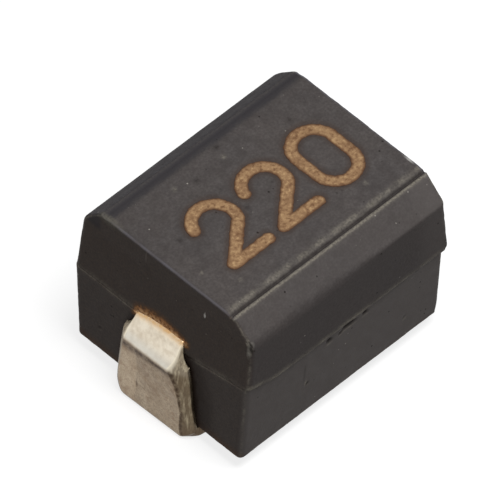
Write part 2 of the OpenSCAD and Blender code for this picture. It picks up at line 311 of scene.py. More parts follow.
# by height: half width of the upright strip, bevels on its -Y and +Y edges, sway of the left one along Y
WIDTHS = [(0.03, 0.552), (0.15, 0.535), (0.22, 0.53), (0.30, 0.518), (0.47, 0.502), (0.60, 0.490),
          (0.75, 0.476), (0.87, 0.456), (1.02, 0.422), (1.21, 0.352)]
BEVEL_NEAR = [(0.10, 0.13), (0.20, 0.12), (0.38, 0.088), (0.56, 0.105), (0.72, 0.135), (0.85, 0.19),
              (0.93, 0.215), (1.06, 0.13), (1.21, 0.03)]
BEVEL_FAR = [(0.0, 0.17), (0.08, 0.14), (0.20, 0.095), (0.38, 0.08), (0.93, 0.09), (1.06, 0.06), (1.21, 0.03)]
SWAY = [(0.02, -0.016), (0.12, -0.003), (0.5, 0.005), (PARTING, 0.006)]
# half width along the foot, from its bend on
FLARE = [(0.0, 0.552), (0.07, 0.530), (0.15, 0.545), (0.26, 0.560), (0.34, 0.592), (0.42, 0.60)]


# ---- resin body

ARC_STEPS = 4  # per half corner of the loop round the body
X_STATIONS = spread(-1, (-0.94, 6), (0.94, 100), (1, 6))
Y_STATIONS = spread(-1, (-0.82, 18), (0.82, 50), (1, 18))
ALONG_X, ALONG_Y = 2 * ARC_STEPS + len(X_STATIONS) - 1, 2 * ARC_STEPS + len(Y_STATIONS) - 1  # steps per side
LOWER_ROWS = spread(BOTTOM, (BOTTOM + BOTTOM_R, 7), (0.98, 24), (PARTING - 0.02, 18),
                    (PARTING - LEDGE_R, 2), (PARTING - 0.0005, 3))
UPPER_ROWS = spread(PARTING, (PARTING + BEVEL, 3), (PARTING + 0.05, 3), (1.82, 20), (2.0, 16),
                    (STRETCH_Z, 4), (TOP - RIM_R, 5), (TOP, 5))
ROWS = len(LOWER_ROWS) + len(UPPER_ROWS)

# chips in the walls: (axis of the wall, its sign, place along it, height, half length, half height, depth)
CHIPS = [
    (1, -1, -0.24, PARTING - 0.09, 0.036, 0.032, 0.026), (1, -1, -0.08, PARTING - 0.105, 0.024, 0.018, 0.012),
    (1, -1, 0.04, PARTING - 0.07, 0.095, 0.026, 0.028), (1, -1, 0.27, PARTING - 0.07, 0.034, 0.026, 0.024),
    (1, -1, -0.52, 0.66, 0.018, 0.022, 0.010), (1, -1, 0.88, 0.52, 0.020, 0.014, 0.008),
    (1, 1, 0.41, PARTING - 0.05, 0.06, 0.016, 0.014), (1, 1, -0.70, 0.58, 0.022, 0.018, 0.009),
    (1, 1, -0.15, 1.62, 0.016, 0.02, 0.007), (0, 1, -0.72, 1.55, 0.020, 0.024, 0.010),
    (0, 1, 0.64, PARTING - 0.05, 0.05, 0.016, 0.014), (0, -1, 0.86, 0.52, 0.018, 0.016, 0.008),
    (0, -1, -0.86, 0.74, 0.016, 0.018, 0.007),
]
# small hollows in the top: (x, y, radius, depth)
HOLLOWS = [(0.11, 0.81, 0.030, 0.008), (-0.32, 0.61, 0.022, 0.007), (0.57, -0.02, 0.024, 0.007),
           (-0.21, 0.02, 0.026, 0.007), (-1.12, 0.36, 0.018, 0.006), (1.22, 0.66, 0.02, 0.006)]
# dark stains and pale flecks on the top: (x, y, radius)
STAINS = [(-0.344, 0.60, 0.035), (0.108, 0.77, 0.03), (-0.224, -0.01, 0.03), (0.535, -0.05, 0.03),
          (-0.165, -0.40, 0.024), (0.90, 0.52, 0.03), (-1.02, 0.16, 0.022)]
FLECKS = [(-0.587, 0.67, 0.022), (0.075, 0.634, 0.024), (0.863, -0.61, 0.022), (-0.941, -0.635, 0.018),
          (-1.163, -0.30, 0.016), (-1.35, 0.86, 0.05), (-1.37, 0.78, 0.035), (1.13, -0.83, 0.02)]


def loop_directions():
    """For each point of the loop: its place on a square from -1 to 1, and its outward direction."""
    turn = np.radians(45) * np.arange(ARC_STEPS + 1) / ARC_STEPS
    square, outward = [], []
    for side, stations in enumerate((X_STATIONS, Y_STATIONS, X_STATIONS, Y_STATIONS)):
        a = -np.pi / 2 + side * np.pi / 2
        d, n = np.array([np.cos(a + np.pi / 2), np.sin(a + np.pi / 2)]), np.array([np.cos(a), np.sin(a)])
        for k in range(ARC_STEPS):
            t = a - np.pi / 4 + turn[k]
            square.append(-d + n)
            outward.append([np.cos(t), np.sin(t)])
        for v in stations:
            square.append(d * v + n)
            outward.append(n)
        for k in range(1, ARC_STEPS):
            t = a + turn[k]
            square.append(d + n)
            outward.append([np.cos(t), np.sin(t)])
    return np.array(square), np.array(outward)


SQUARE, OUTWARD = loop_directions()
LOOP = len(SQUARE)
SHARPER = smooth(-0.3, 0.7, SQUARE[:, 0]) * smooth(0.2, -0.9, SQUARE[:, 1])  # at -Y, more so towards +X


def loop_sides():
    """Places of each side's points in the loop, corners included."""
    sides, start = [], 0
    for n in (ALONG_X, ALONG_Y, ALONG_X, ALONG_Y):
        sides.append([(start + k) % LOOP for k in range(n + 1)])
        start += n
    return sides


def half_sizes(z, part, ease=EASE):
    """Half length and half width of a mould half at height z; ease rounds the chamfer's lower edge."""
    if part is LOWER:
        t = (PARTING - z) / (PARTING - BOTTOM)
        hx, hy = part["l"] / 2 - part["draft_x"] * t, part["w"] / 2 - part["draft_y"] * t
        up = max(0.0, BOTTOM + BOTTOM_R - z)
        inset = BOTTOM_R - math.sqrt(max(0.0, BOTTOM_R**2 - up**2))
        under = max(0.0, z - (PARTING - LEDGE_R))
        inset += LEDGE_R - math.sqrt(max(0.0, LEDGE_R**2 - under**2))
        return hx - inset, hy - inset
    t = (z - PARTING) / (TOP - PARTING)
    hx = part["l"] / 2 - part["draft_x"] * min(1.0, t / 0.68)
    wall = part["w"] / 2 - part["draft_y"] * t / ((TOP - CHAMFER_H - PARTING) / (TOP - PARTING))
    slant = part["w"] / 2 - part["draft_y"] - (z - TOP + CHAMFER_H) * CHAMFER_W / CHAMFER_H
    gap = (wall - slant) / ease
    hy = min(wall, slant) if abs(gap) > 1 else (wall + slant) / 2 - ease * (1 + gap * gap) / 4
    rim = max(0.0, z - (TOP - RIM_R))
    inset = RIM_R - math.sqrt(max(0.0, RIM_R**2 - rim**2))
    return hx - inset, hy - 0.6 * inset


def seam_shift(x, y, end):
    """How far the parting line wanders from its plane near the end at -X; end is 1 on that wall."""
    wall = at_stations(y, SEAM_WANDER)
    along = 0.1 * (1 - smooth(0.0, 0.48, x - body_lo[0])) * (y < 0)
    return end * wall + (1 - end) * along


def top_profile(y):
    """Height of the top across the width: panel, slope, groove and lip, both fainter at +Y."""
    a = np.abs(y)
    z = TOP - DROP * smooth(SLOPE_IN, GROOVE_IN, a)
    middle, half = (GROOVE_IN + LIP_IN) / 2, (LIP_IN - GROOVE_IN) / 2
    depth = GROOVE_D * np.where(np.asarray(y) > 0, 0.2, 1.0)
    return z - depth * np.clip(1 - np.abs(a - middle) / (half * 1.15), 0, 1) ** 0.8


def from_near_edge(x):
    """Distance from the top's edge at -X."""
    return x - body_lo[0] - UPPER["draft_x"] - TOP_SET_BACK


def top_height(p):
    """Height of the top at these points, with worn edges, waves, the mark's bed and hollows."""
    x, y = p[:, 0], p[:, 1]
    flat = p * [1, 1, 0]
    z = top_profile(y)
    z = z - 0.006 * bump_at(np.maximum(body_hi[0] - UPPER["draft_x"] - x, 0), 0, 0.02)
    z = z - 0.014 * smooth(0.065, 0.0, from_near_edge(x)) ** 1.6
    z = z + 0.0010 * lumps(flat, 0.27, 5) + 0.0007 * lumps(flat, 0.07, 6) - 0.0015
    z = z + bump_at(np.abs(y), 0.85, 0.05) * 0.0028 * (lumps(flat, 0.045, 7) - 0.5)
    z = z - 0.009 * smooth(0.022, -0.004, mark_distance(x, y))
    for cx, cy, r, depth in HOLLOWS:
        z = z - depth * round_spot(x, y, cx, cy, r)
    return z


def bottom_height(p):
    return np.full(len(p), BOTTOM) + 0.0012 + 0.0010 * lumps(p * [1, 1, 0], 0.3, 8)


def body_row(z, part):
    """The loop's points at height z of a mould half."""
    edge_z = z
    if z > STRETCH_Z:
        edge_z = STRETCH_Z + (z - STRETCH_Z) * (TOP - DROP - STRETCH_Z) / (TOP - STRETCH_Z)
    hx, _ = half_sizes(z, part)
    _, hy = half_sizes(edge_z, part)
    r = CORNER_R
    if z > TOP - CHAMFER_H:
        r -= 0.1 * CORNER_R * (z - TOP + CHAMFER_H) / CHAMFER_H
    if z < BOTTOM + BOTTOM_R:
        r = CORNER_R - 0.5 * (BOTTOM + BOTTOM_R - z)
    h = np.column_stack([np.full(LOOP, hx), np.full(LOOP, hy)])
    h[:, 1] += (half_sizes(edge_z, part, SHARP_EASE)[1] - hy) * SHARPER
    xy = np.array([part["x"], part["y"]]) + SQUARE * (h - r) + r * OUTWARD
    if part is UPPER:  # the bevel under the overhang is full at +X
        share = np.clip(0.1 + np.maximum(OUTWARD[:, 0], 0), 0, 1)
        xy = xy - OUTWARD * (share * max(0.0, BEVEL - (z - PARTING)))[:, None]
        xy[:, 0] += LEAN * np.clip(-OUTWARD[:, 0], 0, 1) * ((z - PARTING) / (TOP - PARTING))
    else:
        xy[:, 0] -= LOW_ROUND * np.clip(OUTWARD[:, 0], 0, 1) * smooth(BOTTOM + 0.16, BOTTOM, z)
    zz = np.full(LOOP, float(z))
    if z > STRETCH_Z:
        zz = STRETCH_Z + (z - STRETCH_Z) * (top_profile(xy[:, 1]) - STRETCH_Z) / (TOP - STRETCH_Z)
    return np.column_stack([xy, zz])


def wall_wear_and_shade(P, side_n, corner, seam_z):
    """How far each point of the walls moves out, and where it is dark or pale: painted shade in the chips and
    the nick, a darker scratch, painted highlights below the chips and on the corner, and a fleck.
    """
    x, z = P[:, 0], P[:, 2]
    # slow waviness of the walls, and more of it along edges
    ragged = np.maximum.reduce([bump_at(z, seam_z + 0.006, 0.012), bump_at(z, TOP, 0.03),
                                0.6 * bump_at(z, BOTTOM + 0.02, 0.04), 0.7 * corner])
    move = 0.0016 * lumps(P, 0.33, 1) + 0.0008 * lumps(P, 0.09, 2)
    move += ragged * (0.0032 * lumps(P, 0.075, 3) + 0.002 * lumps(P, 0.03, 4) - 0.002)
    dark, pale = np.zeros(len(P)), np.zeros(len(P))
    # chips, painted dark as painted shade, with a painted highlight on the lit edge below each
    for axis, sign, place, height, length, tall, depth in CHIPS:
        on_side = np.clip(side_n[:, axis] * sign, 0, 1) ** 4
        along = (P[:, 1 - axis] - place) / length
        hole = on_side * np.exp(-((along**2 + ((z - height) / tall) ** 2) ** 1.6))
        lit_edge = np.exp(-((along / 1.2) ** 4 + ((z - height + 1.7 * tall) / (0.45 * tall)) ** 2))
        move -= depth * hole
        dark = np.maximum(dark, hole)
        pale = np.maximum(pale, on_side * 0.6 * lit_edge)
    # a nick on the upright corner at -X, -Y, painted dark as painted shade, a scratch on the wall at -Y that
    # ends in a fleck, and wear with a painted highlight on the corner
    on_corner = (side_n[:, 0] < -0.2) & (side_n[:, 1] < -0.3)
    nick = (side_n[:, 1] < -0.8) * np.exp(-((x + 1.365) / 0.022) ** 2 - ((z - 1.97) / 0.07) ** 2)
    move -= 0.018 * nick
    at_y = side_n[:, 1] < -0.9
    scratch = at_y * np.exp(-((x + 0.57) / 0.012) ** 4 - ((z - 0.86) / 0.14) ** 4)
    fleck = at_y * np.exp(-((x + 0.547) / 0.014) ** 2 - ((z - 0.69) / 0.03) ** 2)
    dark = np.maximum.reduce([dark, 0.9 * nick, 0.35 * scratch])
    wear_and_highlight = on_corner * bump_at(z, 1.93, 0.07) * smooth(-0.4, 0.3, lumps(P, 0.03, 12))
    return move, dark, np.maximum.reduce([pale, 1.3 * wear_and_highlight, fleck])


def cap_points(ring, sides, height):
    """Points of the grid that the loop's four sides span, without its border."""
    south, east, north, west = ring[sides[0]], ring[sides[1]], ring[sides[2]][::-1], ring[sides[3]][::-1]
    u = ((south[:, 0] - south[0, 0]) / (south[-1, 0] - south[0, 0]))[None, :, None]
    v = ((west[:, 1] - west[0, 1]) / (west[-1, 1] - west[0, 1]))[:, None, None]
    grid = (1 - v) * south[None] + v * north[None] + (1 - u) * west[:, None] + u * east[:, None]
    grid = grid - ((1 - v) * ((1 - u) * south[0] + u * south[-1]) + v * ((1 - u) * north[0] + u * north[-1]))
    inner = grid[1:-1, 1:-1].reshape(-1, 3)
    inner[:, 2] = height(inner)
    return inner


def cap_faces(first_ring, first_inner, sides, flip):
    """Faces of a cap from its ring's and its inner points' first places."""
    index = np.empty((ALONG_Y + 1, ALONG_X + 1), int)
    index[0, :] = [first_ring + k for k in sides[0]]
    index[:, -1] = [first_ring + k for k in sides[1]]
    index[-1, :] = [first_ring + k for k in sides[2]][::-1]
    index[:, 0] = [first_ring + k for k in sides[3]][::-1]
    inside = np.arange((ALONG_Y - 1) * (ALONG_X - 1)).reshape(ALONG_Y - 1, ALONG_X - 1)
    index[1:-1, 1:-1] = first_inner + inside
    faces = []
    for j in range(ALONG_Y):
        for i in range(ALONG_X):
            q = (index[j, i], index[j, i + 1], index[j + 1, i + 1], index[j + 1, i])
            faces.append(q[::-1] if flip else q)
    return faces


def body_masks(P, side_n, top_count, near_end, corner, dark, pale):
    """Painted masks, worked out from the shape; the walls' points come first, then the top's."""
    def padded(v):
        return np.concatenate([v, np.zeros(len(P) - len(v))])

    x, y, z = P.T
    a = np.abs(y)
    on_top = np.zeros(len(P))
    on_top[len(side_n):len(side_n) + top_count] = 1
    ends, longs = padded(np.abs(side_n[:, 0])), padded(np.abs(side_n[:, 1]))
    corners = padded(corner)
    chamfer_z = TOP - CHAMFER_H
    line_z = PARTING + seam_shift(x, y, padded(near_end))
    above = z - line_z

    # along the top's edges: painted shade in the groove, painted highlights on the lip and the broken-up
    # ridge, all faint at +Y, and a painted highlight on the rim at -X
    top_zone = smooth(TOP - 0.05, TOP - 0.03, z)
    faint = np.where(y > 0, 0.12, 1.0)
    groove = top_zone * bump_at(a, (GROOVE_IN + LIP_IN) / 2, 0.017) * faint
    lip = smooth(TOP - 0.06, TOP - 0.04, z) * bump_at(a, LIP_OUT - 0.006, 0.018) * faint
    ridge = on_top * bump_at(a, 0.845, 0.035) * (0.35 + 0.65 * smooth(-0.4, 0.5, lumps(P, 0.06, 9))) * faint
    rim = np.maximum((1 - on_top) * smooth(TOP - 0.05, TOP - 0.012, z) * ends,
                     on_top * smooth(0.035, 0.0, from_near_edge(x)))
    stains = on_top * np.max([round_spot(x, y, *s) for s in STAINS], axis=0)
    flecks = on_top * np.max([round_spot(x, y, *s) for s in FLECKS], axis=0)

    # parting line, upright corners and the chamfer: the parting line's flash painted pale, partly as a
    # painted highlight, painted highlights on the upright corners, painted shade on a corner at +X, -Y, below
    # the chamfer and on the chamfer at +Y, and painted light on the chamfer and the lower walls
    seam = bump_at(z, line_z + 0.018, 0.032) * (0.35 + 0.65 * smooth(-0.5, 0.4, lumps(P, 0.09, 10)))
    seam_share = 0.5 * ends + (0.85 - 0.35 * smooth(-0.3, 0.8, x)) * longs
    upright = corners**12 * (0.3 + 0.7 * smooth(-0.2, 0.5, lumps(P, 0.08, 11))) * (z > BOTTOM + 0.05)
    corner_shade = bump_at(z, PARTING + 0.11, 0.075) * corners * (x > 0) * (y < 0)
    crisp = smooth(-0.4, 1.0, x)  # the chamfer's lower edge is sharper towards +X
    chamfer = smooth(chamfer_z + 0.02 - 0.02 * crisp, chamfer_z + 0.05 - 0.04 * crisp, z) * (y < 0)
    below_chamfer = smooth(chamfer_z + 0.03 - 0.026 * crisp, chamfer_z - 0.035 + 0.026 * crisp, z)
    far_chamfer = smooth(0.93, 0.98, y) * smooth(chamfer_z - 0.03, chamfer_z + 0.05, z)
    lower_wall = smooth(0.0, -0.03, above) * np.where(y < 0, 1.0, 0.5)

    # round the strips: a warm tone above the exit, painted shadow in the gaps beside the strip, a pinhole
    over = z - PARTING - np.where(x < 0, at_stations(y, EXIT_LIFT[-1]), at_stations(y, EXIT_LIFT[1]))
    reach = at_stations(y, TINT_REACH)
    warm = ends * smooth(0.43, 0.34, np.abs(y - 0.005)) * np.clip(1 - over / reach, 0, 1) * (over > -0.06)
    strip_half = at_stations(z, WIDTHS)
    beside = np.where(y < 0, -y - strip_half - 0.01, y - strip_half + 0.01)
    near_y = np.where(y < 0, 1.0, 0.27)
    gap = np.maximum(smooth(0.11 * near_y, 0.03 * near_y, beside),
                     0.62 * smooth(0.36 * near_y, 0.08 * near_y, beside))
    pinhole = ends * (x < 0) * np.exp(-((y + 0.352) / 0.02) ** 2 - ((z - 1.268) / 0.022) ** 2)
    # painted warm reflection along the foot
    foot = smooth(BOTTOM + 0.10 + 0.10 * ends, BOTTOM + 0.015, z) * (1 - on_top)
    # a painted glint on the upper edge of the +X end
    end_glint = np.exp(-((y + 0.70) / 0.05) ** 2 - ((z - TOP + 0.012) / 0.014) ** 2) * (x > 1.38)

    masks = {
        # pale: painted highlights on the lip, ridge, parting line's flash, upright corners and chip edges,
        # with real flecks
        "pale": np.maximum.reduce([0.9 * lip, 0.55 * ridge, seam * seam_share, 0.6 * flecks, 0.6 * upright,
                                   padded(pale)]),
        # dark: painted shade in the groove, chips, nick and a corner at +X, -Y, with real stains, a scratch
        # and a pinhole
        "dark": np.maximum.reduce([groove, padded(dark), 0.9 * corner_shade, pinhole, 0.6 * stains]),
        # painted shadow beside the strips
        "contact_shadow": ends * smooth(PARTING + 0.02, PARTING - 0.08, z) * gap,
        # painted highlight along the top's edge at -X
        "rim": rim * (0.4 + 0.6 * smooth(-0.5, 0.4, lumps(P, 0.11, 13))),
        # a painted glint on the upper edge of the +X end
        "fleck": end_glint,
        # warm painted shade on the end at -X, less below the parting line
        "end": ends * (x < 0) * (1 - smooth(0.01, -0.01, above) * 0.25),
        # painted shade along the top's edge and chamfer at +Y
        "far": smooth(0.79, 0.86, y) * top_zone + 0.8 * far_chamfer,
        "lit": longs * (lower_wall + 0.35 * smooth(0.9, 1.3, x) + 0.30 * chamfer) * (1 - on_top),
        "warm": warm,
        # painted warm reflection along the foot, stronger at -X
        "foot": foot * (0.35 + 0.45 * ends * (x < 0)),
        # painted shade on the walls below the chamfer
        "wall": (1 - on_top) * below_chamfer * (0.1 + 0.9 * smooth(-0.01, 0.01, above)),
        "halo": on_top * smooth(0.065, 0.0, mark_distance(x, y)),
    }
    return {name: np.clip(mask, 0, 1) for name, mask in masks.items()}


def build_body(material):
    P = np.concatenate([body_row(z, LOWER) for z in LOWER_ROWS] + [body_row(z, UPPER) for z in UPPER_ROWS])
    side_n = np.tile(np.column_stack([OUTWARD, np.zeros(LOOP)]), (ROWS, 1))
    corner = np.tile(np.abs(OUTWARD[:, 0] * OUTWARD[:, 1]) * 2, ROWS)
    near_end = smooth(0.5, 0.85, -side_n[:, 0])
    P[:, 2] += seam_shift(P[:, 0], P[:, 1], near_end) * smooth(0.42, 0.03, np.abs(P[:, 2] - PARTING))
    P[:, 2] -= 0.014 * np.clip(-side_n[:, 0], 0, 1) * smooth(TOP - 0.10, TOP, P[:, 2])
    seam_z = PARTING + seam_shift(P[:, 0], P[:, 1], near_end)
    move, dark, pale = wall_wear_and_shade(P, side_n, corner, seam_z)
    P = P + side_n * move[:, None]

    sides = loop_sides()
    last_row = (ROWS - 1) * LOOP
    top_in, low_in = cap_points(P[last_row:], sides, top_height), cap_points(P[:LOOP], sides, bottom_height)
    faces = []
    for a in range(0, last_row, LOOP):
        for k in range(LOOP):
            n = (k + 1) % LOOP
            faces.append((a + k, a + n, a + LOOP + n, a + LOOP + k))
    faces += cap_faces(last_row, len(P), sides, False)
    faces += cap_faces(0, len(P) + len(top_in), sides, True)
    P = np.clip(np.concatenate([P, top_in, low_in]), body_lo, body_hi)
    masks = body_masks(P, side_n, len(top_in), near_end, corner, dark, pale)
    return piece("resin_body", P, faces, "moulded_body", material, masks)


# ---- value mark

MARK_GRID = 0.0085  # mesh width of the figures


def stroke_edge(x, y):
    """Distance outside the strokes' slightly ragged edge."""
    p = np.column_stack([x.ravel(), y.ravel(), np.zeros(x.size)])
    wobble = 0.005 * lumps(p, 0.05, 21) + 0.004 * lumps(p, 0.022, 22)
    return mark_distance(x, y) + wobble.reshape(x.shape) + 0.004


def move_to_edge(x, y):
    """Moves points near the strokes' edge onto it in small steps."""
    e, largest, flattest = 0.002, 0.006, 0.25
    for _ in range(3):
        here = stroke_edge(x, y)
        sx = (stroke_edge(x + e, y) - stroke_edge(x - e, y)) / (2 * e)
        sy = (stroke_edge(x, y + e) - stroke_edge(x, y - e)) / (2 * e)
        step = np.clip(here / np.maximum(sx * sx + sy * sy, flattest), -largest, largest)
        x, y = x - step * sx, y - step * sy
    return x, y


def build_mark(material):
    nx, ny = (int(round((mark_hi[i] - mark_lo[i]) / MARK_GRID)) for i in (0, 1))
    gx, gy = np.meshgrid(*(np.linspace(mark_lo[i], mark_hi[i], n + 1) for i, n in enumerate((nx, ny))))
    d = stroke_edge(gx, gy)
    keep = (d[:-1, :-1] + d[1:, :-1] + d[:-1, 1:] + d[1:, 1:]) / 4 < 0
    keep[[0, -1], :] = False
    keep[:, [0, -1]] = False
    used, whole = np.zeros_like(d, bool), np.ones_like(d, bool)
    for dy in (0, 1):
        for dx in (0, 1):
            used[dy:ny + dy, dx:nx + dx] |= keep
            whole[dy:ny + dy, dx:nx + dx] &= keep
    rim = used & ~whole
    gx[rim], gy[rim] = move_to_edge(gx[rim], gy[rim])
    index = -np.ones(d.shape, int)
    index[used] = np.arange(used.sum())
    px, py, d = gx[used], gy[used], stroke_edge(gx, gy)[used]

    # the raised grain of the burn, lower at the strokes' edge, over a flat underside
    n = len(px)
    flat = np.column_stack([px, py, np.zeros(n)])
    top = mark_hi[2] - 0.0022 + 0.0012 * lumps(flat, 0.03, 23) + 0.0008 * lumps(flat, 0.018, 24)
    top -= 0.0045 * np.exp(np.minimum(d, 0) / 0.009)
    P = np.concatenate([np.column_stack([px, py, top]), np.column_stack([px, py, np.full(n, mark_lo[2])])])
    P = np.clip(P, mark_lo, mark_hi)
    faces, border = [], {}
    for j, i in zip(*np.nonzero(keep)):
        q = [index[j, i], index[j, i + 1], index[j + 1, i + 1], index[j + 1, i]]
        faces.append(q)
        faces.append([v + n for v in q[::-1]])
        for s, t in zip(q, q[1:] + q[:1]):
            if (t, s) in border:
                del border[(t, s)]
            else:
                border[(s, t)] = True
    for s, t in border:
        faces.append([t, s, s + n, t + n])
    masks = {"inner": smooth(0.002, -0.036, np.concatenate([d, d]))}
    return piece("burnt_figures", P, faces, "value_mark", material, masks)


# ---- terminals

PATH_STEPS = [3, 6, 14, 10, 44, 14, 30]  # per straight and per arc of the strip's path, in turn
ACROSS = np.linspace(-1, 1, 31)  # stations across the flat of the strip
BEND = np.radians(np.linspace(0, 90, 9))
END_TURN = np.arange(1, 6) / 5 * np.pi / 2  # rounding of the foot's end
INSIDE = 0.10  # length of the strip in the resin


def rounded_path(corners, steps):
    """Points of a path with rounded corners: [(x, z, radius)], and steps per straight and per arc."""
    pts = [np.array(c[:2]) for c in corners]
    out = []
    last = pts[0]
    for i in range(1, len(pts) - 1):
        r = corners[i][2]
        to_a = (pts[i - 1] - pts[i]) / np.linalg.norm(pts[i - 1] - pts[i])
        to_c = (pts[i + 1] - pts[i]) / np.linalg.norm(pts[i + 1] - pts[i])
        half = math.acos(np.clip(to_a @ to_c, -1, 1)) / 2
        reach = r / math.tan(half)
        centre = pts[i] + (to_a + to_c) / np.linalg.norm(to_a + to_c) * r / math.sin(half)
        a0, a1 = pts[i] + to_a * reach, pts[i] + to_c * reach
        straight, arc = steps[2 * i - 2], steps[2 * i - 1]
        out += [last + (a0 - last) * k / straight for k in range(straight)]
        turn = math.pi - 2 * half
        f, t = a0 - centre, a1 - centre
        out += [centre + (f * math.sin(turn * (1 - k / arc)) + t * math.sin(turn * k / arc)) / math.sin(turn)
                for k in range(arc)]
        last = a1
    straight = steps[-1]
    out += [last + (pts[-1] - last) * k / straight for k in range(straight + 1)]
    return np.array(out)


def strip_edge(w, bevel_w, bevel_d, thick):
    """Section of one edge of a strip: bevel, side and rounded lower edge, as (across, depth)."""
    bevel = [(w - bevel_w + bevel_w * math.sin(b) ** 1.6, bevel_d * (1 - math.cos(b) ** 1.6))
             for b in BEND[1:]]
    down = [(w, bevel_d + (thick - UNDER_R - bevel_d) * k / 3) for k in (1, 2, 3)]
    under = [(w - UNDER_R + UNDER_R * math.cos(b), thick - UNDER_R + UNDER_R * math.sin(b))
             for b in BEND[[4, 8]]]
    return bevel + down + under


def strip_sections(out, crease):
    """Sections of a strip at +X, and of each point: its place across and along, and 1 on the outer flat."""
    inner_end = min(abs(strip_lo[0]), abs(strip_hi[0]))
    end = inner_end + FOOT_ROUND
    exit_u, wall_u = abs(UPPER["x"] - UPPER["l"] / 2), abs(body_lo[0]) + 0.003
    outer = rounded_path([(exit_u - INSIDE, PARTING), (exit_u, PARTING, 0.03), (out, crease, 0.075),
                          (out, 0.0, 0.06), (end, 0.0)], PATH_STEPS)
    inner = rounded_path([(exit_u - INSIDE, PARTING - STRIP_T), (wall_u, PARTING - STRIP_T, 0.006),
                          (out - STRIP_T, PARTING - STRIP_T - 0.05, 0.02), (out - STRIP_T, FOOT_T, 0.02),
                          (end, FOOT_T)], PATH_STEPS)
    shrink = np.concatenate([np.zeros(len(outer)), FOOT_ROUND * (1 - np.cos(END_TURN))])
    outer = np.concatenate([outer, [(end - FOOT_ROUND * math.sin(t), 0.0) for t in END_TURN]])
    inner = np.concatenate([inner, [(end - FOOT_ROUND * math.sin(t), FOOT_T) for t in END_TURN]])
    length = np.concatenate([[0], np.cumsum(np.hypot(*np.diff(outer, axis=0).T))])

    # widths and bevels: of the upright strip by height, then along the foot
    u, z = outer.T
    low = np.argmax((z < 0.06) & (length > 0.3))
    past = np.maximum(length - length[low], 0)
    width = np.where(past > 0, at_stations(past, FLARE), at_stations(z, WIDTHS))
    tail = np.maximum(inner_end + FOOT_R - u, 0) * (past > 0.3)
    width = width - (FOOT_R - np.sqrt(np.maximum(FOOT_R * FOOT_R - tail * tail, 0))) * 0.98
    on_foot = smooth(0.02, 0.20, past)
    upright = (at_stations(z, BEVEL_NEAR), at_stations(z, BEVEL_FAR), BEVEL_D)
    bevel_near, bevel_far, bevel_d = (v * (1 - on_foot) + FOOT_EDGE * on_foot for v in upright)

    turned = np.cos(BEND[1:]) ** 14
    points, across, along, front = [], [], [], []
    for i in range(len(outer)):
        depth = inner[i] - outer[i]
        thick = np.linalg.norm(depth)
        w, near_w, far_w = width[i] - shrink[i], bevel_near[i], bevel_far[i]
        edge_d = min(bevel_d[i], thick * 0.82)
        flat = [(near_w - w + (2 * w - near_w - far_w) * (a + 1) / 2, 0.0) for a in ACROSS]
        under = [(a * (w - UNDER_R), thick) for a in np.linspace(1, -1, 13)[1:-1]]
        near_edge = [(-a, b) for a, b in strip_edge(w, near_w, edge_d, thick)[::-1]]
        section = np.array(flat + strip_edge(w, far_w, edge_d, thick) + under + near_edge)
        d = section[:, 1]
        if shrink[i] > 0:
            d = shrink[i] + d * (thick - 2 * shrink[i]) / thick
        pos = outer[i][None] + d[:, None] * (depth / thick)[None]
        points.append(np.column_stack([pos[:, 0], section[:, 0], pos[:, 1]]))
        across.append(section[:, 0] / w)
        along.append(np.full(len(section), length[i]))
        plain = np.zeros(len(section) - len(flat) - 2 * len(turned))
        front.append(np.concatenate([np.ones(len(flat)), turned, plain, turned[::-1]]))
    return points, np.concatenate(across), np.concatenate(along), np.concatenate(front)


def strip_masks(P, side, crease, front):
    """Painted masks of a strip, worked out from its shape."""
    x, y, z = np.abs(P[:, 0]), P[:, 1], P[:, 2]
    line = PARTING + at_stations(y, EXIT_LIFT[side])
    facet = smooth(crease - 0.055, crease + 0.015, z)
    slope = smooth(0.0, 0.35, y)
    outside = x > 1.5
    foot_shade = smooth(0.24, 0.08, z) * (1 - front * outside)
    crest = np.clip(1.25 * bump_at(front, 0.5, 0.42), 0, 1)
    return {
        "exit": smooth(line - 0.085, line - 0.004, z),
        "facet": facet,
        "shade": np.clip(smooth(0.42, crease, z) * 0.35, 0, 1) * (1 - facet),
        # painted shade under the facet's crease
        "crease": bump_at(z, crease - 0.07 - 0.03 * slope, 0.034 + 0.02 * slope) * (1 - facet) * front,
        # cool painted highlight low on the facet
        "cool_highlight": facet * smooth(crease + 0.13, crease + 0.01, z) * front,
        "edge": np.clip(1 - front, 0, 1),
        # painted highlights along the facet's edges
        "rim": facet * bump_at(front, 0.6, 0.3),
        "crest": (1 - facet) * crest * (z > 0.04) * (y < 0.2),
        # painted shade on the foot and along the bottom edge
        "low": np.clip(foot_shade + 0.6 * front * smooth(0.05, 0.01, z) * outside, 0, 1),
    }


